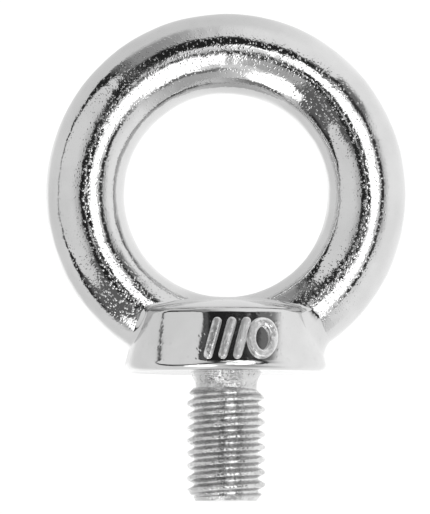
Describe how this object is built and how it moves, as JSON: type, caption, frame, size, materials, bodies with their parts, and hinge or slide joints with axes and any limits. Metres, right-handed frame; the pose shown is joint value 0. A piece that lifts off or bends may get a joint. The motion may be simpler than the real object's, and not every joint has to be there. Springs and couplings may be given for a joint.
{
  "type": "lifting eye bolt",
  "caption": "Lifting eye bolt: a round-section ring and a conical collar with a flat seat, cast in one with a short threaded shank.",
  "frame": {"origin": "centre of the collar's flat seat, on the thread's axis", "axes": "+Z along the thread's axis up through the ring, the ring's hole along Y, the raised mark on the -Y side"},
  "size_m": [0.0362, 0.0206, 0.0488],
  "materials": {
    "cast_steel": "as-cast grain, tumbled and polished bright",
    "polished_steel": "polished bright over a faintly pitted casting",
    "turned_steel": "satin, polished over fine turning marks",
    "thread_steel": "cut thread with burnished crests"
  },
  "bodies": {
    "root": {"lifting_ring": "cast_steel", "collar": "polished_steel", "raised_mark": "polished_steel", "neck": "turned_steel", "threaded_shank": "thread_steel"}
  },
  "joints": []
}
